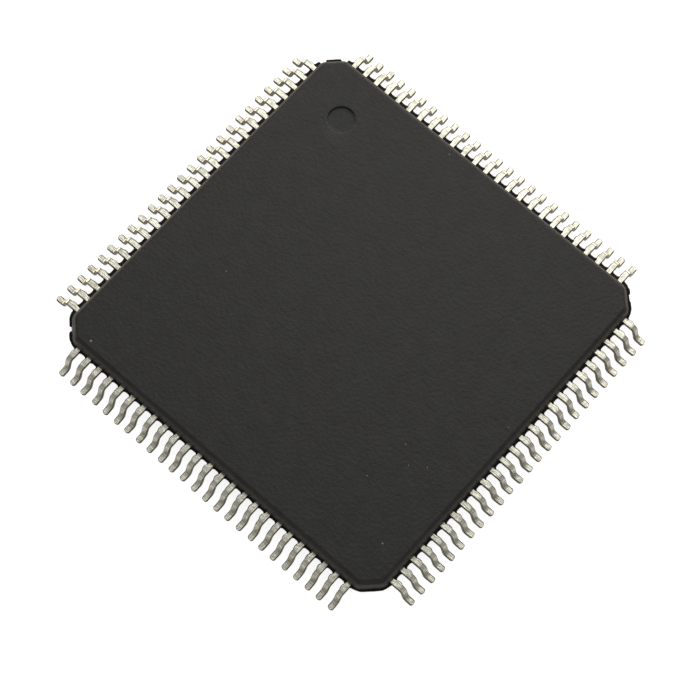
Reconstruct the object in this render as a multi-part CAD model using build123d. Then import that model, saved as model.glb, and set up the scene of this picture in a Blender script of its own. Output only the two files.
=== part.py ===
"""Quad flat package: a thin moulded square chip with 25 gull-wing leads on each of its four sides.

The origin is the middle of the footprint on the board. +Z is up, the first pin is at the corner where
X is negative and Y is positive, and the pins are counted anticlockwise seen from above.
"""
from build123d import *
import os
from math import atan2, degrees, hypot, radians, tan

# Moulded body
body_width = 13.94
body_thickness = 1.00
standoff = 0.12
upper_draft = 12.0
lower_draft = 12.0
corner_chamfer = 0.65
corner_blend = 0.40
top_edge_radius = 0.18

# Pin 1 dimple and the marks of the ejector pins underneath
dimple_diameter = 1.00
dimple_depth = 0.07
dimple_draft = 15.0
dimple_inset_x = 2.07
dimple_inset_y = 1.92
ejector_diameter = 1.20
ejector_depth = 0.04
ejector_spacing = 9.50

# Resin that squeezed out between the two halves of the mould: widest between the leads, where the tie bar
# of the lead frame held it back, drawn out beside each lead, and a thin rim round the corners
flash_reach = 0.085
flash_climb = 0.065
flash_beyond = 0.25
flash_rim = 0.035

# Leads, outside the body. A row holds as many as fit between its two clearances, each measured from the
# middle of the row's last lead to the side of the body round the corner.
leads_per_group = 5
row_clearance = 0.95
lead_pitch = 0.50
lead_width = 0.22
lead_thickness = 0.127
lead_reach = 1.01
shoulder_length = 0.49
leg_lean = 16.0
bend_radius = 0.08

# Leads, inside the body
anchor_length = 0.60
inner_span = 7.60
inner_pitch = 0.21
inner_width = 0.12

# Die, its pad and the bars that tie the pad to the corners
pad_width = 5.60
pad_downset = 0.20
tie_width = 0.24
tie_step = 0.30
tie_setback = 0.05
attach_thickness = 0.025
attach_margin = 0.20
die_width = 4.60
die_thickness = 0.25

# Bond wires
wire_thickness = 0.025
wire_inset = 0.12
wire_landing = 0.10
wire_loop = 0.14

half = body_width / 2
parting_height = standoff + body_thickness / 2
package_top = standoff + body_thickness
lead_top = parting_height + lead_thickness / 2
pad_height = parting_height - pad_downset
pad_top = pad_height + lead_thickness / 2
die_bottom = pad_top + attach_thickness
die_top = die_bottom + die_thickness
leads_per_side = int((body_width - 2 * row_clearance) / lead_pitch) + 1
row_offsets = [(i - (leads_per_side - 1) / 2) for i in range(leads_per_side)]


def body_outline(grow=0.0):
    """The square with cut corners that the body shows from above, grown outwards by a given width."""
    sketch = Rectangle(body_width, body_width)
    sketch = chamfer(sketch.vertices(), corner_chamfer)
    sketch = fillet(sketch.vertices(), corner_blend)
    if grow:
        sketch = offset(sketch, grow, kind=Kind.ARC)
    return sketch


def formed_strip(points, width, thickness, radius):
    """A flat strip folded along a line in the XZ plane.

    Each bend is one flat between two mitres, as long as the chord of the bend's own arc, because a hundred
    leads with round bends would make the model heavy.
    """
    corners = [Vector(x, 0, z) for x, z in points]
    path = [corners[0]]
    for before, corner, after in zip(corners, corners[1:], corners[2:]):
        arrive = (corner - before).normalized()
        leave = (after - corner).normalized()
        turn = radians(arrive.get_angle(leave))
        cut = (radius + thickness / 2) * tan(turn / 2)
        path += [corner - arrive * cut, corner + leave * cut]
    path.append(corners[-1])
    line = Polyline(*path)
    section = Plane(path[0], x_dir=(0, 1, 0), z_dir=line % 0) * Rectangle(width, thickness)
    return sweep(section, path=line, transition=Transition.RIGHT)


def lead(place):
    """One lead of the row at +X: its flat inner part, its shoulder, its leg and its foot."""
    anchor = half - anchor_length
    knee = half + shoulder_length
    drop = parting_height - lead_thickness / 2
    heel = knee + drop * tan(radians(leg_lean))
    side = [
        (anchor, parting_height),
        (knee, parting_height),
        (heel, lead_thickness / 2),
        (half + lead_reach, lead_thickness / 2),
    ]
    outer = Pos(0, place * lead_pitch, 0) * formed_strip(side, lead_width, lead_thickness, bend_radius)
    tip = Vector(inner_span / 2, place * inner_pitch)
    root = Vector(anchor, place * lead_pitch)
    plan = Polyline(
        (tip.X, tip.Y - inner_width / 2),
        (root.X, root.Y - lead_width / 2),
        (root.X, root.Y + lead_width / 2),
        (tip.X, tip.Y + inner_width / 2),
        close=True,
    )
    inner = extrude(Pos(0, 0, parting_height) * make_face(plan), lead_thickness / 2, both=True)
    return outer + inner


def bond_wire(place, die_pitch):
    """One gold wire: up from the die, over its loop and down to the tip of the inner lead."""
    start = Vector(die_width / 2 - wire_inset, place * die_pitch)
    end = Vector(inner_span / 2 + wire_landing, place * inner_pitch)
    reach = hypot(end.X - start.X, end.Y - start.Y)
    turn = degrees(atan2(end.Y - start.Y, end.X - start.X))
    side = Polyline(
        (0, die_top),
        (wire_thickness, die_top),
        (wire_thickness * 2, die_top + wire_loop - wire_thickness),
        (reach, lead_top),
        (wire_thickness, die_top + wire_loop),
        close=True,
    )
    loop = extrude(Plane.XZ * make_face(side), wire_thickness / 2, both=True)
    return Pos(start.X, start.Y, 0) * Rot(0, 0, turn) * loop


def die_pad():
    """The pad under the die, set down from the leads, with a tie bar out to just inside each corner."""
    pad = Pos(0, 0, pad_height) * Box(pad_width, pad_width, lead_thickness)
    corner = (body_width - corner_chamfer) / 2 * 2 ** 0.5 - tie_setback
    bend = pad_width / 2 * 2 ** 0.5
    side = [
        (bend - tie_width, pad_height),
        (bend + tie_step / 2, pad_height),
        (bend + tie_step / 2 + pad_downset, parting_height),
        (corner, parting_height),
    ]
    tie = formed_strip(side, tie_width, lead_thickness, bend_radius)
    for quarter in range(4):
        pad += Rot(0, 0, 45 + 90 * quarter) * tie
    return pad


def flash_outline():
    """The flash from above: a rim all round, a strip along each row of leads, and a climb on each lead."""
    flash = body_outline(flash_rim)
    row_end = row_offsets[-1] * lead_pitch + lead_width / 2 + flash_beyond
    strip = Pos(half, 0) * Rectangle(2 * flash_reach, 2 * row_end)
    for quarter in range(4):
        flash += Rot(0, 0, 90 * quarter) * strip
    edge = half + flash_reach
    spread = lead_width / 2 + flash_climb
    for place in row_offsets:
        y = place * lead_pitch
        climb = make_face(
            Polyline(
                (half - flash_climb, y - spread),
                (edge, y - spread),
                (edge + flash_climb, y - lead_width / 2),
                (edge + flash_climb, y + lead_width / 2),
                (edge, y + spread),
                (half - flash_climb, y + spread),
                close=True,
            )
        )
        for quarter in range(4):
            flash += Rot(0, 0, 90 * quarter) * climb
    return flash


def mould_body(embedded):
    """The epoxy moulding, cast round everything that is embedded in it."""
    outline = Pos(0, 0, parting_height) * body_outline()
    upper = extrude(outline, body_thickness / 2, taper=upper_draft)
    lower = extrude(outline, -body_thickness / 2, taper=lower_draft)
    upper = fillet(upper.faces().sort_by(Axis.Z)[-1].edges(), top_edge_radius)
    flash = extrude(Pos(0, 0, parting_height) * flash_outline(), lead_thickness / 2, both=True)

    body = upper + lower + flash
    # The cone reaches as far above the top as the dimple goes down, so that it cuts clean through.
    flare = dimple_depth * tan(radians(dimple_draft))
    dimple = Cone(dimple_diameter / 2 - flare, dimple_diameter / 2 + flare, 2 * dimple_depth)
    body -= Pos(dimple_inset_x - half, half - dimple_inset_y, package_top) * dimple
    for side in (-1, 1):
        mark = Cylinder(ejector_diameter / 2, ejector_depth * 2)
        body -= Pos(side * ejector_spacing / 2, side * ejector_spacing / 2, standoff) * mark
    return body - embedded


def save(name, shape):
    """Writes one node's solids to its own STEP file."""
    shape.label = name
    export_step(shape, f"parts/{name}.step")


def main():
    os.makedirs("parts", exist_ok=True)

    row = [lead(place) for place in row_offsets]
    die_pitch = (die_width - 4 * wire_inset) / (leads_per_side - 1)
    wire_row = [bond_wire(place, die_pitch) for place in row_offsets]
    leads = []
    wires = []
    # Pins run anticlockwise from the corner of the first pin: left, front, right and back row.
    for turn in (180, 270, 0, 90):
        leads += [Rot(0, 0, turn) * piece for piece in row]
        wires += [Rot(0, 0, turn) * piece for piece in wire_row]

    pad = die_pad()
    attach_width = die_width + attach_margin
    attach = Pos(0, 0, pad_top + attach_thickness / 2) * Box(attach_width, attach_width, attach_thickness)
    die = Pos(0, 0, die_bottom + die_thickness / 2) * Box(die_width, die_width, die_thickness)

    body = mould_body([*leads, *wires, pad, attach, die])

    save("mould_body", body)
    save("die_pad", pad)
    save("die_attach", attach)
    save("silicon_die", die)
    for first in range(0, len(leads), leads_per_group):
        last = min(first + leads_per_group, len(leads))
        pins = f"{first + 1:03d}_{last:03d}"
        save(f"leads_{pins}", Compound(children=leads[first:last]))
        save(f"bond_wires_{pins}", Compound(children=wires[first:last]))


main()
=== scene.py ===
"""Quad flat package in its studio: the looks of a moulded chip with 25 gull-wing leads on each side.

Laid out as a Blender add-on and run as a script. All sizes are in metres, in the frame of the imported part:
the origin is the middle of the footprint, +Z is up, and the first pin is at the corner of -X and +Y.
"""
import math

import bmesh
import bpy
import numpy as np
from bpy.props import FloatProperty, FloatVectorProperty, IntProperty, PointerProperty
from bpy.types import Operator, Panel, PropertyGroup
from mathutils import Matrix, Vector


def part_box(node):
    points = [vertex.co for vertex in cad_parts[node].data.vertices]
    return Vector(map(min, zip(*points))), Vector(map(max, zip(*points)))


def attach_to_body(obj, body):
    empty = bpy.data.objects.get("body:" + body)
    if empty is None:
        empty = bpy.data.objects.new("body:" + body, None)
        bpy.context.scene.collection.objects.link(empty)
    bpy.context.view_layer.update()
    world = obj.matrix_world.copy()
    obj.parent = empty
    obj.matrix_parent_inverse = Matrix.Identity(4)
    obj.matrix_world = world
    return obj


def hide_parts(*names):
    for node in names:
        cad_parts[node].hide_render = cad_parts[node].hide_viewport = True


bl_info = {
    "name": "Quad flat package",
    "version": (1, 0, 0),
    "blender": (4, 5, 0),
    "location": "3D View > Sidebar > Chip",
    "description": "Builds the looks of a quad flat package and its studio",
    "category": "Object",
}

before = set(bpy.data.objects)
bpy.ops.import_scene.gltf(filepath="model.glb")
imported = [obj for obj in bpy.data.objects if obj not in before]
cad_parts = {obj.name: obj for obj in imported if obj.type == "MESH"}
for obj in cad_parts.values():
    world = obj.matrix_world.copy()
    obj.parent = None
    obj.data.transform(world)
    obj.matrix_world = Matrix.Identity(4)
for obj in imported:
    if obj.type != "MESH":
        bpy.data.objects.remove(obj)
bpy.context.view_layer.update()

MM = 0.001
QUARTER = math.pi / 2
STRIP = "strip_place"

# The rows in the order of their pins, as quarter turns from +X: left, front, right and back.
ROW_TURNS = (2, 3, 0, 1)
LEADS_PER_NODE = 5

# Corners nearer to each other than the distance are one. Edges that turn by more than the angle stay sharp.
MERGE_DISTANCE = 1e-8
SHARP_ANGLE = 35.0
LEAD_SHARP_ANGLE = 40.0

# Width of the strip just inside a plate's edge, and the fillet at the foot of an ejector mark.
PLATE_SUPPORT = 0.03 * MM
EJECTOR_FOOT = 0.015 * MM

# How deep the flash is rooted in the wall, and the waves in its edge, counted round the whole body.
FLASH_ROOT = 0.10 * MM
RIPPLE_WAVES = (61, 97, 173)

# What is left of the tie bar, from the wall outwards: the finely divided stretch that holds it, its middle,
# half its length, and the smallest as a share of the largest.
STUB_START = 0.10 * MM
STUB_END = 0.38 * MM
STUB_MIDDLE = 0.24 * MM
STUB_HALF_LENGTH = 0.12 * MM
STUB_SMALLEST = 0.25

# A toe is rounded like an ellipse that keeps a small flat, and its last stretch is pulled back by up to the
# shortening.
TOE_TURN = 0.94 * QUARTER
TOE_TAPER = 0.97
TOE_STRETCH = 0.2 * MM
TOE_SHORTENING = 0.025 * MM

# Steps in the tin's pattern, in millimetres: from lead to lead along a row, and for each count that the
# number of a piece's first pin goes up. So no two leads look alike.
PATTERN_LEAD_STEP = 3.7
PATTERN_PIN_STEP = 11.3

# The lamp and the point that it faces, and the floor with its small gap under the feet.
LAMP_PLACE = (-0.064, 0.125, 0.207)
LAMP_DIAMETER = 0.180
LAMP_TINT = "#fffdf8"
LAMP_AIM = (0.0, 0.0, 0.6 * MM)
FLOOR_HALF_WIDTH = 1.0
FLOOR_GAP = 0.002 * MM
WHITE = (1.0, 1.0, 1.0, 1.0)

# Where the flash at a corner has broken off, or bulges where the depth is negative. Corners are numbered
# anticlockwise from the one at +X and -Y. Each has its place along the corner's cut, anticlockwise from the
# cut's middle, its half length and its depth, in millimetres.
FLASH_BITES = (
    (0, 0.00, 0.50, -0.026),
    (1, 0.06, 0.16, 0.030),
    (1, 0.29, 0.11, -0.018),
    (2, 0.00, 0.26, -0.012),
    (2, -0.37, 0.11, 0.140),
    (2, 0.37, 0.11, 0.140),
    (3, -0.01, 0.11, 0.090),
    (3, 0.27, 0.15, -0.015),
)

# Grains of the filler that lie bare on the top: X, Y and radius in millimetres.
SPECKS = (
    (-5.76, -6.60, 0.042),
    (6.00, -5.37, 0.030),
    (-1.26, 6.51, 0.021),
    (5.43, -2.46, 0.021),
    (4.38, -2.34, 0.020),
    (4.92, -2.82, 0.020),
    (-4.08, -1.77, 0.019),
    (6.54, 0.36, 0.020),
    (4.14, -3.99, 0.018),
)


def hex_colour(text):
    """Linear red, green and blue of an sRGB hex value."""
    levels = np.array([int(text[at:at + 2], 16) for at in (1, 3, 5)]) / 255
    linear = np.where(levels <= 0.04045, levels / 12.92, ((levels + 0.055) / 1.055) ** 2.4)
    return tuple(linear.tolist())


def length(name, description, millimetres):
    """A size property, given in millimetres."""
    return FloatProperty(
        name=name,
        description=description,
        default=millimetres * MM,
        min=0.0,
        precision=5,
        subtype="DISTANCE",
        unit="LENGTH",
    )


def place_in_plan(name, description, x, y):
    """A point or a shift seen from above, given in millimetres."""
    return FloatVectorProperty(
        name=name,
        description=description,
        default=(x * MM, y * MM),
        size=2,
        precision=5,
        unit="LENGTH",
    )


def strength(name, description, value):
    """A property for the strength of a light."""
    return FloatProperty(name=name, description=description, default=value, min=0.0)


def angle(name, description, degrees):
    """An angle property, given in degrees."""
    return FloatProperty(
        name=name,
        description=description,
        default=math.radians(degrees),
        subtype="ANGLE",
        unit="ROTATION",
    )


def colour(name, description, text):
    """A colour property, given as an sRGB hex value."""
    return FloatVectorProperty(
        name=name,
        description=description,
        default=hex_colour(text),
        size=3,
        min=0.0,
        max=1.0,
        subtype="COLOR",
    )


class BodySettings(PropertyGroup):
    """Sizes and colours of the moulded body."""

    width: length("Width", "Side of the body at the parting line", 13.94)
    shift: place_in_plan("Mould shift", "How far the mould closed off the lead frame's middle", 0.030, -0.045)
    chamfer: length("Corner cut", "How far the corners are cut back along each side", 0.65)
    blend: length("Corner radius", "Radius where a corner cut meets a side", 0.40)
    upper_draft: angle("Upper draft", "Lean of the walls above the parting line", 12.0)
    lower_draft: angle("Lower draft", "Lean of the walls below the parting line", 12.0)
    top_radius: length("Top edge radius", "Rounding of the edge round the top", 0.18)
    bottom_radius: length("Bottom edge radius", "Rounding of the edge round the underside", 0.04)
    dimple_diameter: length("Dimple diameter", "Round recess that marks the first pin", 1.00)
    dimple_depth: length("Dimple depth", "Depth of the first pin's recess", 0.07)
    dimple_draft: angle("Dimple draft", "Lean of the recess's wall", 15.0)
    dimple_inset_x: length("Dimple inset X", "From the dimple's middle to the left side of the body", 2.07)
    dimple_inset_y: length("Dimple inset Y", "From the dimple's middle to the back of the body", 1.92)
    ejector_diameter: length("Ejector mark diameter", "Round marks on the underside", 1.20)
    ejector_depth: length("Ejector mark depth", "Depth of the marks on the underside", 0.04)
    ejector_spacing: length("Ejector mark spacing", "Between the two marks, along each side", 9.50)
    resin: colour("Resin", "Colour of the moulded epoxy on the top", "#141516")
    # Painted warm reflected light: the walls take a lighter, browner colour than the top to stand in for warm
    # light from low down.
    wall_reflection_resin: colour("Wall resin", "Colour of the moulded epoxy on the side walls", "#1f1b18")
    # Painted shade: the dimple's colour is darker and bluer than the top, standing in for shade in the
    # recess.
    dimple_shade_resin: colour("Dimple resin", "Colour of the moulded epoxy in the first pin's dimple", "#0f1313")
    speck: colour("Speck", "Colour of a grain of the silica filler that lies bare", "#70706c")


class FlashSettings(PropertyGroup):
    """Sizes and colour of the resin that squeezed out at the parting line."""

    shift: place_in_plan("Dam bar shift", "How far the flash lies off the frame's middle", -0.012, 0.015)
    reach: length("Reach", "How far the flash stands out between the leads", 0.092)
    rim: length("Rim", "How far the flash stands out round the corners", 0.08)
    beyond: length("Beyond", "How far the wide flash runs on past a row's last lead", 0.25)
    climb: length("Climb", "How much further it creeps out along each lead", 0.065)
    ease: length("Ease", "Length over which the wide flash narrows to the rim", 0.15)
    ripple: length("Ripple", "How uneven the flash's edge is", 0.005)
    fillet: length("Fillet", "Width of its hollow rounding beside each lead", 0.10)
    clearance: length("Thinness", "How much thinner than a lead the flash is on each face", 0.006)
    edge_radius: length("Edge radius", "Rounding of the flash's outer edge", 0.012)
    # Partly the flash's own black and partly painted shade at the parting line, where it lies under the
    # body's edge.
    resin: colour("Resin", "Colour of the thin flash, which is almost pure resin", "#0b0a09")


class LeadSettings(PropertyGroup):
    """Sizes and colours of the leads."""

    per_side: IntProperty(
        name="Leads a side",
        description="Number of leads in each row",
        default=25,
        min=1,
    )
    pitch: length("Pitch", "Between neighbouring leads", 0.50)
    width: length("Width", "Width of a lead", 0.22)
    thickness: length("Thickness", "Thickness of the lead frame with its plating", 0.127)
    reach: length("Reach", "From the wall at the parting line to the toe", 1.01)
    shoulder: length("Shoulder", "From the wall at the parting line to the corner of the upper bend", 0.49)
    lean: angle("Leg lean", "Lean of the leg from upright", 16.0)
    bend_radius: length("Bend radius", "Inside radius of both bends", 0.08)
    edge_bevel: length("Edge bevel", "How far a lead's long edges are worn back on each face", 0.028)
    toe_radius: length("Toe rounding", "Length over which the toe's corners round off", 0.07)
    stub: length("Tie bar stub", "What is left of the tie bar between leads, at its widest", 0.055)
    unevenness: length("Unevenness", "Usual sideways error of a toe", 0.012)
    anchor: length("Anchor", "Length of full width inside the body", 0.60)
    inner_span: length("Inner span", "Between the inner tips of opposite leads", 7.60)
    inner_pitch: length("Inner pitch", "Between the inner tips of neighbouring leads", 0.21)
    inner_width: length("Inner width", "Width of a lead at its inner tip", 0.12)
    tin: colour("Tin", "Colour of the matt tin plate", "#d4d3c6")
    dull_tin: colour("Dull tin", "Colour of the tin plate where it has dulled", "#b8b6a8")
    # Painted shade: the flanks take this darker grey to stand in for the shade on a lead's sides.
    flank_shade_tin: colour("Flank tin", "Colour of the thin plate on a lead's cut flanks", "#716f65")


class InnerSettings(PropertyGroup):
    """Colours of what is cast inside the body."""

    copper: colour("Copper", "Colour of the bare lead frame", "#c98a63")
    attach: colour("Die attach", "Colour of the silver-filled glue", "#a9a9a4")
    silicon: colour("Silicon", "Colour of the die", "#4b5260")
    gold: colour("Gold", "Colour of the bond wires", "#e3b34f")


class StageSettings(PropertyGroup):
    """Camera, floor, lamp and surroundings."""

    azimuth: angle("Azimuth", "Where the camera stands, anticlockwise from -Y", 35.955)
    elevation: angle("Elevation", "Camera's height above the horizon", 71.388)
    roll: angle("Roll", "Camera's turn about its line of sight", 5.523)
    distance: length("Distance", "From the camera to the point that it looks at", 74.19)
    focal_length: FloatProperty(
        name="Focal length",
        description="Lens of the camera in millimetres, for a 36 mm sensor",
        default=112.80,
        min=1.0,
    )
    aim: place_in_plan("Aim", "Point on the floor that the camera looks at", 0.648, -0.800)
    floor: colour("Floor", "Colour of the plain floor", "#e9e9e9")
    key: strength("Key lamp", "Power of the soft lamp, in watts", 0.137)
    far_sky: strength("Far sky", "Light from low down behind the chip", 4.5)
    near_sky: strength("Near sky", "Light from low down before the chip", 0.35)
    horizon: colour("Horizon", "Colour of the light from low down", "#ffefd6")
    overhead: strength("Overhead", "Light from overhead and from above behind the chip", 0.35)
    near_high: strength("Near high", "Light from above, before the chip", 0.62)


def add_node(tree, kind, settings=None, inputs=None):
    """Adds a node, sets its own settings, and sets or links its inputs."""
    node = tree.nodes.new(kind)
    for name, value in (settings or {}).items():
        setattr(node, name, value)
    for name, value in (inputs or {}).items():
        socket = node.inputs[name]
        if isinstance(value, bpy.types.NodeSocket):
            tree.links.new(value, socket)
        else:
            socket.default_value = value
    return node


def new_material(name):
    """An empty material and its node tree."""
    material = bpy.data.materials.new(name)
    material.use_nodes = True
    material.node_tree.nodes.clear()
    return material, material.node_tree


def finish_material(tree, shader):
    """Links the last shader to the material's surface."""
    add_node(tree, "ShaderNodeOutputMaterial", inputs={"Surface": shader})


def rgba(value):
    """A colour with full alpha."""
    return (*value, 1.0)


def strip_faces(rings, around, start=0):
    """Quads between neighbouring rings of a closed grid, wound so that they face away from the axis.

    Corner (k, j) has the number start + k * around + j, with j counted anticlockwise.
    """
    ring, place = np.meshgrid(np.arange(rings - 1), np.arange(around), indexing="ij")
    following = (place + 1) % around
    upper = start + ring * around
    lower = upper + around
    return np.stack([upper + place, lower + place, lower + following, upper + following], -1).reshape(-1, 4)


def fan_faces(pole, ring_start, around, outwards=True):
    """Triangles from a pole to a ring."""
    place = np.arange(around)
    following = (place + 1) % around
    corners = [np.full(around, pole), ring_start + place, ring_start + following]
    if not outwards:
        corners.reverse()
    return np.stack(corners, -1)


def new_piece(name, vertices, face_lists, material, sharp_angle=SHARP_ANGLE):
    """A mesh object at the origin, smooth except at edges past the sharp angle."""
    mesh = bpy.data.meshes.new(name)
    faces = [face for faces in face_lists for face in faces.tolist()]
    mesh.from_pydata(np.asarray(vertices).reshape(-1, 3).tolist(), [], faces)
    mesh.validate()
    mesh.polygons.foreach_set("use_smooth", np.ones(len(mesh.polygons), bool))
    mesh.set_sharp_from_angle(angle=math.radians(sharp_angle))
    mesh.materials.append(material)
    piece = bpy.data.objects.new(name, mesh)
    bpy.context.scene.collection.objects.link(piece)
    return piece


def merge_doubles(piece):
    """Joins corners that lie on each other and makes every face point outwards."""
    work = bmesh.new()
    work.from_mesh(piece.data)
    bmesh.ops.remove_doubles(work, verts=work.verts, dist=MERGE_DISTANCE)
    bmesh.ops.recalc_face_normals(work, faces=work.faces)
    work.to_mesh(piece.data)
    work.free()
    piece.data.set_sharp_from_angle(angle=math.radians(SHARP_ANGLE))


def smooth_step(share):
    """3 t^2 - 2 t^3, with t kept from 0 to 1."""
    t = np.clip(share, 0, 1)
    return t * t * (3 - 2 * t)


def turned(points, quarters):
    """Points turned anticlockwise about Z by a number of quarter turns."""
    cos, sin = round(math.cos(quarters * QUARTER)), round(math.sin(quarters * QUARTER))
    points = np.asarray(points, float)
    result = points.copy()
    result[..., 0] = points[..., 0] * cos - points[..., 1] * sin
    result[..., 1] = points[..., 0] * sin + points[..., 1] * cos
    return result


def body_outline(body, side_steps, arc_steps, cut_steps):
    """Corners and outward normals of the body's outline at the parting line, anticlockwise from the middle
    of the cut at +X and -Y.

    One quarter is half a corner cut, an arc of 45 degrees, the straight side at +X, and the same mirrored.
    The arc is centre + radius * (cos a, sin a). An outline further in or out is corner + distance * normal.
    """
    half = body.width / 2
    radius = body.blend
    tangent = radius * math.tan(math.pi / 8)
    side_end = half - body.chamfer - tangent
    # Half of the cut, from the side's end of it back to its middle, in the corner at +X and +Y.
    arc_angles = np.linspace(0, math.pi / 4, arc_steps + 1)
    arc = np.stack([half - radius + radius * np.cos(arc_angles), side_end + radius * np.sin(arc_angles)], -1)
    arc_normals = np.stack([np.cos(arc_angles), np.sin(arc_angles)], -1)
    cut_middle = np.full(2, half - body.chamfer / 2)
    share = np.linspace(0, 1, cut_steps + 1)[1:, None]
    cut = arc[-1] + (cut_middle - arc[-1]) * share
    cut_normals = np.repeat(arc_normals[-1:], cut_steps, 0)
    side = np.stack([np.full(side_steps - 1, half), np.linspace(0, side_end, side_steps)[:-1]], -1)
    side_normals = np.repeat(arc_normals[:1], len(side), 0)
    upper = np.concatenate([side, arc, cut])
    upper_normals = np.concatenate([side_normals, arc_normals, cut_normals])
    mirror = np.array([1, -1])
    # The lower half of the quarter runs from the cut's middle to the side's middle; both ends are shared.
    quarter = np.concatenate([upper[:0:-1] * mirror, upper[:-1]])
    normals = np.concatenate([upper_normals[:0:-1] * mirror, upper_normals[:-1]])
    points = np.concatenate([turned(quarter, turn) for turn in range(4)])
    normals = np.concatenate([turned(normals, turn) for turn in range(4)])
    return points, normals


def recess_profile(radius, depth, draft=0.0, foot=0.04 * MM, rim=0.025 * MM, steps=5):
    """Radii and heights of a round recess from its floor outwards.

    The floor rises by a circular fillet of radius foot, the wall leans out by the draft, and it leaves over a
    rim of radius rim. Both arcs turn by 90 degrees less the draft.
    """
    turn = np.linspace(0, QUARTER - draft, steps)
    cut = math.tan((QUARTER - draft) / 2)
    floor_edge = radius - depth * math.tan(draft) - foot * cut
    rim_edge = radius + rim * cut
    floor_radii = np.array([0.35, 0.7]) * floor_edge
    radii = np.concatenate([
        floor_radii,
        floor_edge + foot * np.sin(turn),
        rim_edge - rim * np.sin(turn[::-1]),
    ])
    heights = np.concatenate([
        np.full(2, -depth),
        -depth + foot * (1 - np.cos(turn)),
        -rim * (1 - np.cos(turn[::-1])),
    ])
    return radii, heights


def plate_with_recess(loop, centre, profile):
    """Rings from a recess's middle out to a loop, and their heights above the plate.

    Each corner of the loop has its ray from the recess's centre. The recess's rings are
    centre + radius * ray, and the others run straight from its rim to the loop. The last one lies just
    inside the loop.
    """
    away = loop - centre
    distance = np.linalg.norm(away, axis=1, keepdims=True)
    ray = away / distance
    radii, heights = profile
    rings = centre + radii[:, None, None] * ray
    shares = np.array([0.03, 0.35, 0.7])
    spread = rings[-1] + (loop - rings[-1]) * shares[:, None, None]
    inner_edge = centre + (distance - PLATE_SUPPORT) * ray
    rings = np.concatenate([rings, spread, inner_edge[None]])
    heights = np.concatenate([heights, np.zeros(len(shares) + 1)])
    return rings, heights


def lifted(rings, heights):
    """Rings seen from above, each with its height added as Z."""
    return np.concatenate([rings, np.broadcast_to(heights[:, None, None], (*rings.shape[:2], 1))], -1)


def dimple_middle(body):
    """Where the first pin's dimple lies."""
    half = body.width / 2
    return np.array([body.dimple_inset_x - half, half - body.dimple_inset_y])


def body_shell(body, low, high):
    """Corners and faces of the closed body.

    The walls are outline + distance * normal with the height, along a profile: down the rounded top edge, the
    upper wall, the lower wall and the rounded bottom edge. The top is a plate round the first pin's dimple,
    and the underside is two half plates, each round one ejector mark.
    """
    points, normals = body_outline(body, side_steps=40, arc_steps=5, cut_steps=3)
    around = len(points)
    parting = (low + high) / 2
    half_height = (high - low) / 2

    def edge(draft, radius, sense, steps):
        """Distances and heights of a rounded edge, from the flat face down to the wall."""
        inset = half_height * math.tan(draft) + radius * math.tan((QUARTER - draft) / 2)
        turn = np.linspace(0, QUARTER - draft, steps)
        heights = half_height - radius + radius * np.cos(turn)
        return -inset + radius * np.sin(turn), parting + sense * heights

    top_distance, top_height = edge(body.upper_draft, body.top_radius, 1, 7)
    bottom_distance, bottom_height = edge(body.lower_draft, body.bottom_radius, -1, 4)
    distances = np.concatenate([top_distance, [0.0], bottom_distance[::-1]])
    heights = np.concatenate([top_height, [parting], bottom_height[::-1]])
    walls = np.empty((len(distances), around, 3))
    walls[..., :2] = points + distances[:, None, None] * normals
    walls[..., 2] = heights[:, None]

    dimple = dimple_middle(body)
    profile = recess_profile(body.dimple_diameter / 2, body.dimple_depth, body.dimple_draft)
    rings, depths = plate_with_recess(walls[0, :, :2], dimple, profile)
    grid = np.concatenate([lifted(rings, high + depths), walls])
    pole = np.array([[*dimple, high - body.dimple_depth]])
    vertices = np.concatenate([pole, grid.reshape(-1, 3)])
    faces = [fan_faces(0, 1, around), strip_faces(len(grid), around, 1)]

    # The half of the underside at +X and +Y, closed along the diagonal between the other two corners.
    outline = walls[-1, :around // 2 + 1, :2]
    diagonal_steps = 61
    share = np.linspace(0, 1, diagonal_steps + 1)[1:-1, None]
    diagonal = outline[-1] + (outline[0] - outline[-1]) * share
    loop = np.concatenate([outline, diagonal])
    mark = np.full(2, body.ejector_spacing / 2)
    profile = recess_profile(body.ejector_diameter / 2, body.ejector_depth, foot=EJECTOR_FOOT)
    rings, depths = plate_with_recess(loop, mark, profile)
    rings = np.concatenate([rings, loop[None]])
    half_plate = lifted(rings, low - np.append(depths, 0.0))
    pole = np.array([[*mark, low + body.ejector_depth]])
    for turn in (0, 2):
        start = len(vertices)
        vertices = np.concatenate([vertices, turned(pole, turn), turned(half_plate, turn).reshape(-1, 3)])
        faces.append(fan_faces(start, start + 1, len(loop), outwards=False))
        faces.append(strip_faces(len(half_plate), len(loop), start + 1)[:, ::-1])
    return vertices + (*body.shift, 0), faces


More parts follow.
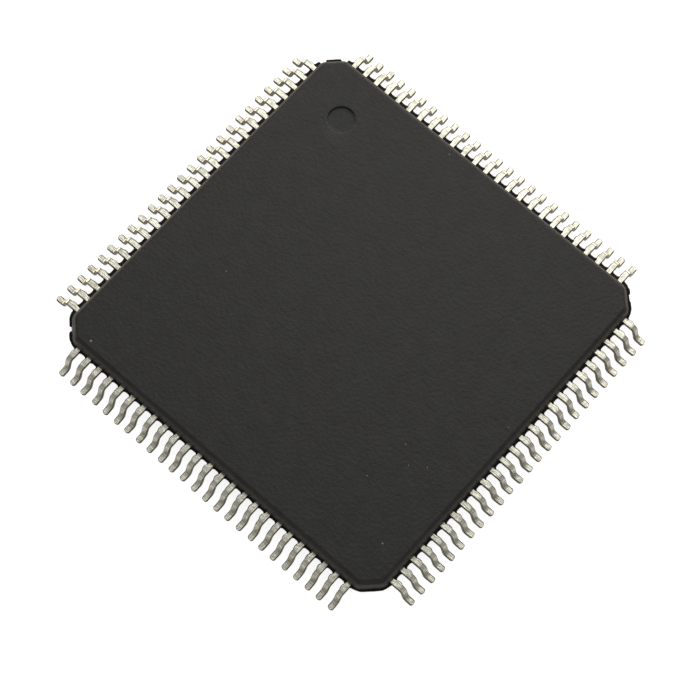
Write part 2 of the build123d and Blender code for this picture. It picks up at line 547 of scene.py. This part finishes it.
def flash_ring(body, flash, leads, parting):
    """Corners and faces of the closed ring of flash.

    Its section is carried round the outline, and its reach is r(s) = wide + climb * (1 - sqrt(1 - q * q)),
    where q falls from 1 at a lead's flank to 0 one fillet away from it. The wide reach fades into the rim's
    by a smooth step 3 t^2 - 2 t^3 where the row of leads ends. Each bite takes its depth times the same
    step, with t three times the distance from the bite's end as a share of its half length, and a few sine
    waves make the edge uneven.
    """
    points, normals = body_outline(body, side_steps=200, arc_steps=14, cut_steps=20)
    along = np.where(np.abs(normals[:, 0]) > np.abs(normals[:, 1]), points[:, 1], points[:, 0])
    last = (leads.per_side - 1) / 2
    nearest = leads.pitch * np.clip(np.round(along / leads.pitch), -last, last)
    gap = np.abs(along - nearest) - leads.width / 2
    q = np.clip(1 - gap / flash.fillet, 0, 1)
    row_end = last * leads.pitch + leads.width / 2 + flash.beyond
    wide = flash.rim + (flash.reach - flash.rim) * smooth_step((row_end - np.abs(along)) / flash.ease)
    reach = wide + flash.climb * (1 - np.sqrt(1 - q * q))
    cut_middle = np.array([1, -1]) * (body.width - body.chamfer) / 2
    cut_heading = np.array([1, 1]) / math.sqrt(2)
    for corner, place, half_length, depth in FLASH_BITES:
        from_middle = points - turned(cut_middle, corner)
        past_middle = from_middle @ turned(cut_heading, corner)
        near = np.linalg.norm(from_middle, axis=1) < body.chamfer
        inside = 1 - np.abs(past_middle / MM - place) / half_length
        reach -= np.where(near, depth * MM * smooth_step(3 * inside), 0)
    turn_about = np.unwrap(np.arctan2(points[:, 1], points[:, 0]))
    ripples = sum(np.sin(waves * turn_about + waves) for waves in RIPPLE_WAVES)
    reach += flash.ripple * ripples / len(RIPPLE_WAVES)
    half_thickness = leads.thickness / 2 - flash.clearance
    turn = np.linspace(0, QUARTER, 4)
    nose = flash.edge_radius * (1 - np.sin(turn))
    # Inside the wall, the rounded outer edge above and below, and back inside.
    shares = np.concatenate([[0.0], np.ones(2 * len(turn)), [0.0]])
    offsets = np.concatenate([[-FLASH_ROOT], -nose, -nose[::-1], [-FLASH_ROOT]])
    rise = half_thickness - flash.edge_radius * (1 - np.cos(turn))
    heights = np.concatenate([[half_thickness], rise, -rise[::-1], [-half_thickness]])
    distance = shares[:, None] * reach + offsets[:, None]
    ring = np.empty((len(shares), len(points), 3))
    ring[..., :2] = points + distance[..., None] * normals + np.array(flash.shift)
    ring[..., 2] = parting + heights[:, None]
    closed = np.concatenate([ring, ring[:1]])
    return closed, [strip_faces(len(closed), len(points))]


def lead_line(leads, half_body, parting):
    """Stations along a lead's middle line: distance out, height, slope, pitch of the row, half width.

    Straight from the inner tip over the anchor and the shoulder, then an arc of 90 degrees less the lean,
    the leg, the same arc back, and the foot. The arcs have the radius bend + thickness / 2. At the toe the
    half width is w * sqrt(1 - q * q) with q from 0 to nearly 1.
    """
    radius = leads.bend_radius + leads.thickness / 2
    turn = QUARTER - leads.lean
    tangent = radius * math.tan(turn / 2)
    sole = leads.thickness / 2
    knee = half_body + leads.shoulder
    heel = knee + (parting - sole) * math.tan(leads.lean)
    tip = leads.inner_span / 2
    root = half_body - leads.anchor
    toe = half_body + leads.reach
    half_width = leads.width / 2

    stub_place = np.linspace(half_body + STUB_START, half_body + STUB_END, 7)
    bend = np.linspace(0, turn, 7)
    toe_share = np.sin(np.linspace(0, TOE_TURN, 5))
    foot = np.linspace(heel + tangent, toe - leads.toe_radius, 4)[1:-1]
    out = np.concatenate([
        [tip, root, half_body - 0.03 * MM],
        stub_place[stub_place < knee - tangent - 0.01 * MM],
        knee - tangent + radius * np.sin(bend),
        heel + tangent - radius * np.sin(bend[::-1]),
        foot,
        toe - leads.toe_radius * (1 - toe_share),
    ])
    level = len(out) - 2 * len(bend) - len(foot) - len(toe_share)
    height = np.full(len(out), parting)
    height[level:level + len(bend)] -= radius * (1 - np.cos(bend))
    height[level + len(bend):] = sole
    height[level + len(bend):level + 2 * len(bend)] += radius * (1 - np.cos(bend[::-1]))
    slope = np.zeros(len(out))
    slope[level:level + len(bend)] = bend
    slope[level + len(bend):level + 2 * len(bend)] = bend[::-1]
    pitch = np.full(len(out), leads.pitch)
    pitch[0] = leads.inner_pitch
    widths = np.full(len(out), half_width)
    widths[0] = leads.inner_width / 2
    widths[-len(toe_share):] *= np.sqrt(1 - (toe_share * TOE_TAPER) ** 2)
    return out, height, slope, pitch, widths


def lead_section(leads):
    """A rectangle with bevelled edges: the eight corners' shares of the half width and half thickness, and
    their inward offsets along each."""
    across = np.array([1, 1, -1, -1, -1, -1, 1, 1])
    rise = np.array([1, 1, 1, 1, -1, -1, -1, -1])
    inward_across = -across * leads.edge_bevel * np.array([0, 1, 1, 0, 0, 1, 1, 0])
    inward_rise = -rise * leads.edge_bevel * np.array([1, 0, 0, 1, 1, 0, 0, 1])
    return across, rise, inward_across, inward_rise


def lead_row(leads, half_body, parting, places, quarters, seed):
    """Corners, faces and strip places of some leads of one row.

    A corner is line + across * Y + rise * normal, where the line's slope a gives the normal
    (sin a, 0, cos a).
    """
    out, height, slope, pitch, widths = lead_line(leads, half_body, parting)
    across, rise, inward_across, inward_rise = lead_section(leads)
    stations, around, count = len(out), len(across), len(places)
    draw = np.random.default_rng(seed)

    # What is left of the tie bar stands out on one side: +Y on the left and right rows, -X on the others.
    stub_side = {0: 1, 1: 1, 2: -1, 3: -1}[quarters]
    middle = half_body + STUB_MIDDLE
    bump = np.clip(1 - np.abs((out - middle) / STUB_HALF_LENGTH) ** 3, 0, 1)
    stub = leads.stub * draw.uniform(STUB_SMALLEST, 1.0, (count, 1, 1)) * bump[:, None]

    # Beyond the knee a toe strays a little to one side, and it may be cut a little short.
    beyond_knee = np.clip((out - half_body - leads.shoulder) / (leads.reach - leads.shoulder), 0, 1)
    stray = draw.normal(0, leads.unevenness, (count, 1, 1))
    shorter = draw.uniform(0, TOE_SHORTENING, (count, 1))

    narrow = np.minimum(1, widths / (2 * leads.edge_bevel))
    y = widths[:, None] * across + inward_across * narrow[:, None]
    y = np.broadcast_to(y, (count, stations, around)).copy()
    y += np.where(across == stub_side, stub * stub_side, 0)
    y += np.asarray(places)[:, None, None] * pitch[:, None] + stray * beyond_knee[:, None]
    lift = leads.thickness / 2 * rise + inward_rise
    x = out + np.where(out > half_body + leads.reach - TOE_STRETCH, -shorter, 0)
    x = x[..., None] + lift * np.sin(slope)[:, None]
    z = np.broadcast_to(height[:, None] + lift * np.cos(slope)[:, None], x.shape)
    corners = np.stack([x, y, z], -1)

    # The caps at both ends are fans from a pole in the middle of the section.
    ends = corners[:, [0, -1]].mean(2)
    vertices = np.concatenate([corners.reshape(count, -1, 3), ends], 1)
    per_lead = stations * around
    single = [
        strip_faces(stations, around)[:, ::-1],
        fan_faces(per_lead, 0, around),
        fan_faces(per_lead + 1, per_lead - around, around, outwards=False),
    ]
    offsets = np.arange(count)[:, None, None] * (per_lead + 2)
    faces = [(part[None] + offsets).reshape(-1, part.shape[1]) for part in single]

    travelled = np.concatenate([[0], np.cumsum(np.hypot(np.diff(out), np.diff(height)))])
    strip = np.empty((count, per_lead + 2, 3))
    strip[:, :per_lead, 0] = np.repeat(travelled, around)
    strip[:, :per_lead, 1] = np.tile(leads.width / 2 * across, stations)
    strip[:, per_lead:, 0] = travelled[[0, -1]]
    strip[:, per_lead:, 1] = 0
    pattern_start = np.asarray(places) * PATTERN_LEAD_STEP + seed * PATTERN_PIN_STEP
    strip[..., 2] = pattern_start[:, None] * MM
    return turned(vertices, quarters), faces, strip


def mould_material(body, top):
    """Black epoxy moulding compound, pressed in a spark-eroded mould: matt and finely grained, with a few
    pale specks of its silica filler. It is darker in the dimple, whose floor comes from a polished pin, as
    painted shade of the recess, and lighter and browner on the side walls as painted warm reflected light."""
    material, tree = new_material("epoxy_moulding_matt")
    place = add_node(tree, "ShaderNodeTexCoord").outputs["Object"]
    # The real grain is about 0.02 mm, too fine to show, so it is drawn at 0.14 mm.
    grain = add_node(tree, "ShaderNodeTexNoise", inputs={
        "Vector": place, "Scale": 1 / (0.14 * MM), "Detail": 2.0, "Roughness": 0.6,
    }).outputs["Fac"]
    # Clouds of resin and filler, some 0.5 mm wide.
    clouds = add_node(tree, "ShaderNodeTexNoise", inputs={
        "Vector": place, "Scale": 1 / (0.5 * MM), "Detail": 2.0, "Roughness": 0.5,
    }).outputs["Fac"]
    facing = add_node(tree, "ShaderNodeNewGeometry").outputs["Normal"]
    upright = add_node(tree, "ShaderNodeSeparateXYZ", inputs={"Vector": facing}).outputs["Z"]
    on_top = add_node(tree, "ShaderNodeMapRange", inputs={
        "Value": upright, "From Min": 0.45, "From Max": 0.95,
    }).outputs["Result"]
    # The upright walls get the lighter, browner colour as painted reflected light; the top keeps the plain
    # resin.
    resin = add_node(tree, "ShaderNodeMix", {"data_type": "RGBA"}, {
        "Factor": on_top, "A": rgba(body.wall_reflection_resin), "B": rgba(body.resin),
    }).outputs["Result"]
    shade = add_node(tree, "ShaderNodeMapRange", inputs={
        "Value": clouds, "From Min": 0.3, "From Max": 0.7, "To Min": 0.66, "To Max": 1.34,
    }).outputs["Result"]
    speckle = add_node(tree, "ShaderNodeMapRange", inputs={
        "Value": grain, "From Min": 0.25, "From Max": 0.75, "To Min": 0.72, "To Max": 1.28,
    }).outputs["Result"]
    both = add_node(tree, "ShaderNodeMath", {"operation": "MULTIPLY"}, {0: shade, 1: speckle}).outputs[0]
    toned = add_node(tree, "ShaderNodeVectorMath", {"operation": "SCALE"}, {
        "Vector": resin, "Scale": both,
    }).outputs["Vector"]
    speck = 0.0
    for x, y, radius in SPECKS:
        away = add_node(tree, "ShaderNodeVectorMath", {"operation": "DISTANCE"}, {
            0: place, 1: (x * MM, y * MM, top),
        }).outputs["Value"]
        inside = add_node(tree, "ShaderNodeMath", {"operation": "LESS_THAN"}, {
            0: away, 1: radius * MM,
        }).outputs[0]
        speck = add_node(tree, "ShaderNodeMath", {"operation": "MAXIMUM"}, {0: speck, 1: inside}).outputs[0]
    base = add_node(tree, "ShaderNodeMix", {"data_type": "RGBA"}, {
        "Factor": speck, "A": toned, "B": rgba(body.speck),
    }).outputs["Result"]

    middle_x, middle_y = dimple_middle(body)
    centred = add_node(tree, "ShaderNodeMapping", {"vector_type": "POINT"}, {
        "Vector": place, "Location": (-middle_x, -middle_y, 0.0), "Scale": (1.0, 1.0, 0.0),
    }).outputs["Vector"]
    from_dimple = add_node(tree, "ShaderNodeVectorMath", {"operation": "LENGTH"}, {
        "Vector": centred,
    }).outputs["Value"]
    in_dimple = add_node(tree, "ShaderNodeMath", {"operation": "LESS_THAN"}, {
        0: from_dimple, 1: body.dimple_diameter / 2 - 0.02 * MM,
    }).outputs[0]
    # Painted shade in the dimple: its floor and wall take the darker colour.
    with_dimple_shade = add_node(tree, "ShaderNodeMix", {"data_type": "RGBA"}, {
        "Factor": in_dimple, "A": base, "B": rgba(body.dimple_shade_resin),
    }).outputs["Result"]
    roughness = add_node(tree, "ShaderNodeMapRange", inputs={
        "Value": in_dimple, "To Min": 0.43, "To Max": 0.42,
    }).outputs["Result"]
    bump = add_node(tree, "ShaderNodeBump", inputs={
        "Strength": 0.60, "Distance": 0.018 * MM, "Height": grain,
    }).outputs["Normal"]
    shader = add_node(tree, "ShaderNodeBsdfPrincipled", inputs={
        "Base Color": with_dimple_shade, "Roughness": roughness, "Normal": bump, "IOR": 1.50,
        "Specular IOR Level": 0.40,
    }).outputs["BSDF"]
    finish_material(tree, shader)
    return material


def flash_material(flash):
    """Flash is nearly pure resin, as thin as the leads: black, and smoother than the body. Its colour is
    darker than the body's partly because pure resin is blacker and partly as painted shade at the parting
    line.
    """
    material, tree = new_material("epoxy_flash")
    place = add_node(tree, "ShaderNodeTexCoord").outputs["Object"]
    # Ripples of the flow, about 0.12 mm wide.
    ripple = add_node(tree, "ShaderNodeTexNoise", inputs={
        "Vector": place, "Scale": 1 / (0.12 * MM), "Detail": 2.0,
    }).outputs["Fac"]
    shade = add_node(tree, "ShaderNodeMapRange", inputs={
        "Value": ripple, "To Min": 0.6, "To Max": 1.5,
    }).outputs["Result"]
    base = add_node(tree, "ShaderNodeVectorMath", {"operation": "SCALE"}, {
        "Vector": tuple(flash.resin), "Scale": shade,
    }).outputs["Vector"]
    bump = add_node(tree, "ShaderNodeBump", inputs={
        "Strength": 0.5, "Distance": 0.01 * MM, "Height": ripple,
    }).outputs["Normal"]
    shader = add_node(tree, "ShaderNodeBsdfPrincipled", inputs={
        "Base Color": base, "Roughness": 0.48, "Normal": bump, "IOR": 1.45, "Specular IOR Level": 0.14,
    }).outputs["BSDF"]
    finish_material(tree, shader)
    return material


def tin_material(leads):
    """Matt tin, electroplated on the copper lead frame: a pale warm metal with broad highlights, dulled in
    patches, with fine draw marks of the forming tool along each lead."""
    material, tree = new_material("tin_plate_matt")
    place = add_node(tree, "ShaderNodeAttribute", {"attribute_name": STRIP}).outputs["Vector"]
    drawn = add_node(tree, "ShaderNodeMapping", {"vector_type": "POINT"}, {
        "Vector": place, "Scale": (0.16, 1.0, 1.0),
    }).outputs["Vector"]
    # Draw marks 0.05 mm apart and six times as long.
    marks = add_node(tree, "ShaderNodeTexNoise", inputs={
        "Vector": drawn, "Scale": 1 / (0.05 * MM), "Detail": 2.0, "Roughness": 0.5,
    }).outputs["Fac"]
    # Patches where the tin has dulled, about 0.15 mm wide.
    patches = add_node(tree, "ShaderNodeTexNoise", inputs={
        "Vector": place, "Scale": 1 / (0.15 * MM), "Detail": 3.0, "Roughness": 0.6,
    }).outputs["Fac"]
    dulled = add_node(tree, "ShaderNodeMapRange", inputs={
        "Value": patches, "From Min": 0.42, "From Max": 0.68,
    }).outputs["Result"]
    plated = add_node(tree, "ShaderNodeMix", {"data_type": "RGBA"}, {
        "Factor": dulled, "A": rgba(leads.tin), "B": rgba(leads.dull_tin),
    }).outputs["Result"]
    # The flanks are half a width from the lead's middle line, where the colour is a darker grey as painted
    # shade of the leads' sides.
    from_middle = add_node(tree, "ShaderNodeMath", {"operation": "ABSOLUTE"}, {
        0: add_node(tree, "ShaderNodeSeparateXYZ", inputs={"Vector": place}).outputs["Y"],
    }).outputs[0]
    on_shaded_flank = add_node(tree, "ShaderNodeMath", {"operation": "GREATER_THAN"}, {
        0: from_middle, 1: 0.49 * leads.width,
    }).outputs[0]
    base = add_node(tree, "ShaderNodeMix", {"data_type": "RGBA"}, {
        "Factor": on_shaded_flank, "A": plated, "B": rgba(leads.flank_shade_tin),
    }).outputs["Result"]
    roughness = add_node(tree, "ShaderNodeMapRange", inputs={
        "Value": dulled, "To Min": 0.22, "To Max": 0.35,
    }).outputs["Result"]
    both = add_node(tree, "ShaderNodeMath", {"operation": "ADD"}, {0: marks, 1: patches}).outputs[0]
    bump = add_node(tree, "ShaderNodeBump", inputs={
        "Strength": 0.6, "Distance": 0.012 * MM, "Height": both,
    }).outputs["Normal"]
    shader = add_node(tree, "ShaderNodeBsdfPrincipled", inputs={
        "Base Color": base, "Metallic": 1.0, "Roughness": roughness, "Normal": bump,
    }).outputs["BSDF"]
    finish_material(tree, shader)
    return material


def inner_material(name, value, metallic, roughness, grain):
    """A finish for what is cast in: its colour is clouded by noise of a given grain, and so is its
    roughness."""
    material, tree = new_material(name)
    place = add_node(tree, "ShaderNodeTexCoord").outputs["Object"]
    noise = add_node(tree, "ShaderNodeTexNoise", inputs={
        "Vector": place, "Scale": 1 / grain, "Detail": 3.0,
    }).outputs["Fac"]
    shade = add_node(tree, "ShaderNodeMapRange", inputs={
        "Value": noise, "To Min": 0.8, "To Max": 1.1,
    }).outputs["Result"]
    base = add_node(tree, "ShaderNodeVectorMath", {"operation": "SCALE"}, {
        "Vector": tuple(value), "Scale": shade,
    }).outputs["Vector"]
    rough = add_node(tree, "ShaderNodeMapRange", inputs={
        "Value": noise, "To Min": roughness, "To Max": roughness + 0.15,
    }).outputs["Result"]
    shader = add_node(tree, "ShaderNodeBsdfPrincipled", inputs={
        "Base Color": base, "Metallic": metallic, "Roughness": rough,
    }).outputs["BSDF"]
    finish_material(tree, shader)
    return material


def repaint(node, material):
    """Gives a CAD node one material."""
    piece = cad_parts[node]
    piece.data.materials.clear()
    piece.data.materials.append(material)


def floor_material(stage):
    """Plain white paper. It keeps the object's soft shadow, is white to the camera and clear from below."""
    camera_glow = 0.80
    mirror_glow = 0.18
    material, tree = new_material("paper_white_matt")
    place = add_node(tree, "ShaderNodeTexCoord").outputs["Object"]
    # Paper fibres, about 0.6 mm wide.
    fibre = add_node(tree, "ShaderNodeTexNoise", inputs={
        "Vector": place, "Scale": 1 / (0.6 * MM), "Detail": 2.0,
    }).outputs["Fac"]
    shade = add_node(tree, "ShaderNodeMapRange", inputs={
        "Value": fibre, "To Min": 0.99, "To Max": 1.01,
    }).outputs["Result"]
    base = add_node(tree, "ShaderNodeVectorMath", {"operation": "SCALE"}, {
        "Vector": tuple(stage.floor), "Scale": shade,
    }).outputs["Vector"]
    paper = add_node(tree, "ShaderNodeBsdfDiffuse", inputs={"Color": base}).outputs["BSDF"]
    path = add_node(tree, "ShaderNodeLightPath")
    mirrored = add_node(tree, "ShaderNodeMath", {"operation": "MULTIPLY"}, {
        0: path.outputs["Is Glossy Ray"], 1: mirror_glow,
    }).outputs[0]
    seen = add_node(tree, "ShaderNodeMath", {"operation": "MULTIPLY_ADD"}, {
        0: path.outputs["Is Camera Ray"], 1: camera_glow, 2: mirrored,
    }).outputs[0]
    glow = add_node(tree, "ShaderNodeEmission", inputs={"Color": WHITE, "Strength": seen}).outputs["Emission"]
    lit = add_node(tree, "ShaderNodeAddShader", inputs={0: paper, 1: glow}).outputs[0]
    clear = add_node(tree, "ShaderNodeBsdfTransparent").outputs["BSDF"]
    below = add_node(tree, "ShaderNodeNewGeometry").outputs["Backfacing"]
    shader = add_node(tree, "ShaderNodeMixShader", inputs={0: below, 1: lit, 2: clear}).outputs[0]
    finish_material(tree, shader)
    return material


def soft_lamp(name, place, aim, diameter, power, tint):
    """A round soft light at a place, facing a point."""
    data = bpy.data.lights.new(name, "AREA")
    data.shape = "DISK"
    data.size = diameter
    data.energy = power
    data.color = hex_colour(tint)
    lamp = bpy.data.objects.new(name, data)
    bpy.context.scene.collection.objects.link(lamp)
    lamp.location = place
    lamp.rotation_mode = "QUATERNION"
    lamp.rotation_quaternion = (Vector(aim) - Vector(place)).to_track_quat("-Z", "Y")


def build_camera(stage):
    """The camera at the photograph's viewing angle."""
    a, e = stage.azimuth, stage.elevation
    back = Vector((math.sin(a) * math.cos(e), -math.cos(a) * math.cos(e), math.sin(e)))
    data = bpy.data.cameras.new("camera")
    data.lens = stage.focal_length
    data.sensor_width = 36.0
    data.clip_start = 5 * MM
    data.clip_end = 10.0
    camera = bpy.data.objects.new("camera", data)
    bpy.context.scene.collection.objects.link(camera)
    turn = (-back).to_track_quat("-Z", "Y").to_matrix() @ Matrix.Rotation(stage.roll, 3, "Z")
    camera.rotation_mode = "QUATERNION"
    camera.rotation_quaternion = turn.to_quaternion()
    camera.location = Vector((*stage.aim, 0.0)) + back * stage.distance
    bpy.context.scene.camera = camera


def build_world(stage):
    """White where the camera sees it. For everything else it is warm low down, where it is brightest behind
    the chip, and white higher up, where it is brightest before the chip."""
    far_heading = (-0.7, 0.7, 0.0)
    world = bpy.data.worlds.new("studio")
    bpy.context.scene.world = world
    world.use_nodes = True
    tree = world.node_tree
    tree.nodes.clear()
    path = add_node(tree, "ShaderNodeLightPath").outputs["Is Camera Ray"]
    heading = add_node(tree, "ShaderNodeTexCoord").outputs["Generated"]
    behind = add_node(tree, "ShaderNodeVectorMath", {"operation": "DOT_PRODUCT"}, {
        0: heading, 1: far_heading,
    }).outputs["Value"]
    horizon = add_node(tree, "ShaderNodeMapRange", inputs={
        "Value": behind, "From Min": -0.2, "From Max": 0.3,
        "To Min": stage.near_sky, "To Max": stage.far_sky,
    }).outputs["Result"]
    height = add_node(tree, "ShaderNodeSeparateXYZ", inputs={"Vector": heading}).outputs["Z"]
    high = add_node(tree, "ShaderNodeMapRange", inputs={
        "Value": height, "From Min": 0.22, "From Max": 0.42,
    }).outputs["Result"]
    above = add_node(tree, "ShaderNodeMapRange", inputs={
        "Value": behind, "From Min": -0.6, "From Max": -0.1,
        "To Min": stage.near_high, "To Max": stage.overhead,
    }).outputs["Result"]
    around = add_node(tree, "ShaderNodeMapRange", inputs={
        "Value": high, "To Min": horizon, "To Max": above,
    }).outputs["Result"]
    tint = add_node(tree, "ShaderNodeMix", {"data_type": "RGBA"}, {
        "Factor": high, "A": rgba(stage.horizon), "B": WHITE,
    }).outputs["Result"]
    light = add_node(tree, "ShaderNodeBackground", inputs={"Color": tint, "Strength": around})
    white = add_node(tree, "ShaderNodeBackground", inputs={"Color": WHITE, "Strength": 1.0})
    seen = add_node(tree, "ShaderNodeMixShader", inputs={
        0: path, 1: light.outputs["Background"], 2: white.outputs["Background"],
    }).outputs[0]
    add_node(tree, "ShaderNodeOutputWorld", inputs={"Surface": seen})


class CHIP_OT_body(Operator):
    """Builds the moulded body with the first pin's dimple and the ejector marks"""

    bl_idname = "chip.body"
    bl_label = "Moulded body"

    def execute(self, context):
        body = context.scene.chip_body
        low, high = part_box("mould_body")
        vertices, faces = body_shell(body, low.z, high.z)
        piece = new_piece("chip_body", vertices, faces, mould_material(body, high.z))
        merge_doubles(piece)
        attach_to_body(piece, "root")
        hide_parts("mould_body")
        return {"FINISHED"}


class CHIP_OT_flash(Operator):
    """Builds the rim of flash round the body at the parting line"""

    bl_idname = "chip.flash"
    bl_label = "Flash"

    def execute(self, context):
        scene = context.scene
        low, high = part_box("mould_body")
        parting = (low.z + high.z) / 2
        vertices, faces = flash_ring(scene.chip_body, scene.chip_flash, scene.chip_leads, parting)
        piece = new_piece("chip_flash", vertices, faces, flash_material(scene.chip_flash))
        merge_doubles(piece)
        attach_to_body(piece, "root")
        return {"FINISHED"}


class CHIP_OT_leads(Operator):
    """Builds the tin-plated leads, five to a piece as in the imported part"""

    bl_idname = "chip.leads"
    bl_label = "Leads"

    def execute(self, context):
        scene = context.scene
        leads = scene.chip_leads
        low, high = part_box("mould_body")
        parting = (low.z + high.z) / 2
        material = tin_material(leads)
        places = np.arange(leads.per_side) - (leads.per_side - 1) / 2
        for row, quarters in enumerate(ROW_TURNS):
            for first in range(0, leads.per_side, LEADS_PER_NODE):
                number = row * leads.per_side + first
                pins = f"{number + 1:03d}_{number + LEADS_PER_NODE:03d}"
                chosen = places[first:first + LEADS_PER_NODE]
                vertices, faces, strip = lead_row(
                    leads, scene.chip_body.width / 2, parting, chosen, quarters, number
                )
                piece = new_piece(f"tin_leads_{pins}", vertices, faces, material, LEAD_SHARP_ANGLE)
                mark = piece.data.attributes.new(STRIP, "FLOAT_VECTOR", "POINT")
                mark.data.foreach_set("vector", strip.astype(np.float32).ravel())
                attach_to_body(piece, "root")
                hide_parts(f"leads_{pins}")
        return {"FINISHED"}


class CHIP_OT_inner_parts(Operator):
    """Finishes the die, its pad, its glue and the bond wires inside the body"""

    bl_idname = "chip.inner_parts"
    bl_label = "Inner parts"

    def execute(self, context):
        inner = context.scene.chip_inner
        repaint("die_pad", inner_material("copper_rolled", inner.copper, 1.0, 0.30, 0.20 * MM))
        repaint("die_attach", inner_material("silver_glue_cured", inner.attach, 0.6, 0.45, 0.05 * MM))
        repaint("silicon_die", inner_material("silicon_polished", inner.silicon, 0.4, 0.12, 0.40 * MM))
        gold = inner_material("gold_wire_drawn", inner.gold, 1.0, 0.20, 0.03 * MM)
        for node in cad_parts:
            if node.startswith("bond_wires_"):
                repaint(node, gold)
        return {"FINISHED"}


class CHIP_OT_stage(Operator):
    """Sets up the camera, the floor, the lamp and the white surroundings"""

    bl_idname = "chip.stage"
    bl_label = "Stage"

    def execute(self, context):
        scene = context.scene
        stage = scene.chip_stage
        scene.view_settings.view_transform = "Standard"
        corners = np.array([(-1, -1, 0), (1, -1, 0), (1, 1, 0), (-1, 1, 0)]) * FLOOR_HALF_WIDTH
        corners[:, 2] = -FLOOR_GAP
        floor = new_piece("floor", corners, [np.array([[0, 1, 2, 3]])], floor_material(stage))
        soft_lamp("lamp_overhead", LAMP_PLACE, LAMP_AIM, LAMP_DIAMETER, stage.key, LAMP_TINT)
        build_world(stage)
        build_camera(stage)
        return {"FINISHED"}


SECTIONS = (
    ("chip_body", BodySettings, CHIP_OT_body),
    ("chip_flash", FlashSettings, CHIP_OT_flash),
    ("chip_leads", LeadSettings, CHIP_OT_leads),
    ("chip_inner", InnerSettings, CHIP_OT_inner_parts),
    ("chip_stage", StageSettings, CHIP_OT_stage),
)


class CHIP_PT_panel(Panel):
    """The sizes and colours of each group of pieces, with the button that builds it"""

    bl_idname = "CHIP_PT_panel"
    bl_label = "Quad flat package"
    bl_space_type = "VIEW_3D"
    bl_region_type = "UI"
    bl_category = "Chip"

    def draw(self, context):
        for name, settings, operator in SECTIONS:
            box = self.layout.box()
            for prop in settings.__annotations__:
                box.prop(getattr(context.scene, name), prop)
            box.operator(operator.bl_idname)


def register():
    """Registers the settings, the operators and the panel."""
    for name, settings, operator in SECTIONS:
        bpy.utils.register_class(settings)
        setattr(bpy.types.Scene, name, PointerProperty(type=settings))
        bpy.utils.register_class(operator)
    bpy.utils.register_class(CHIP_PT_panel)


def unregister():
    """Takes away what register added."""
    bpy.utils.unregister_class(CHIP_PT_panel)
    for name, settings, operator in reversed(SECTIONS):
        bpy.utils.unregister_class(operator)
        delattr(bpy.types.Scene, name)
        bpy.utils.unregister_class(settings)


def main():
    """Builds every piece and the stage."""
    register()
    bpy.ops.chip.body()
    bpy.ops.chip.flash()
    bpy.ops.chip.leads()
    bpy.ops.chip.inner_parts()
    bpy.ops.chip.stage()


if __name__ == "__main__":
    main()
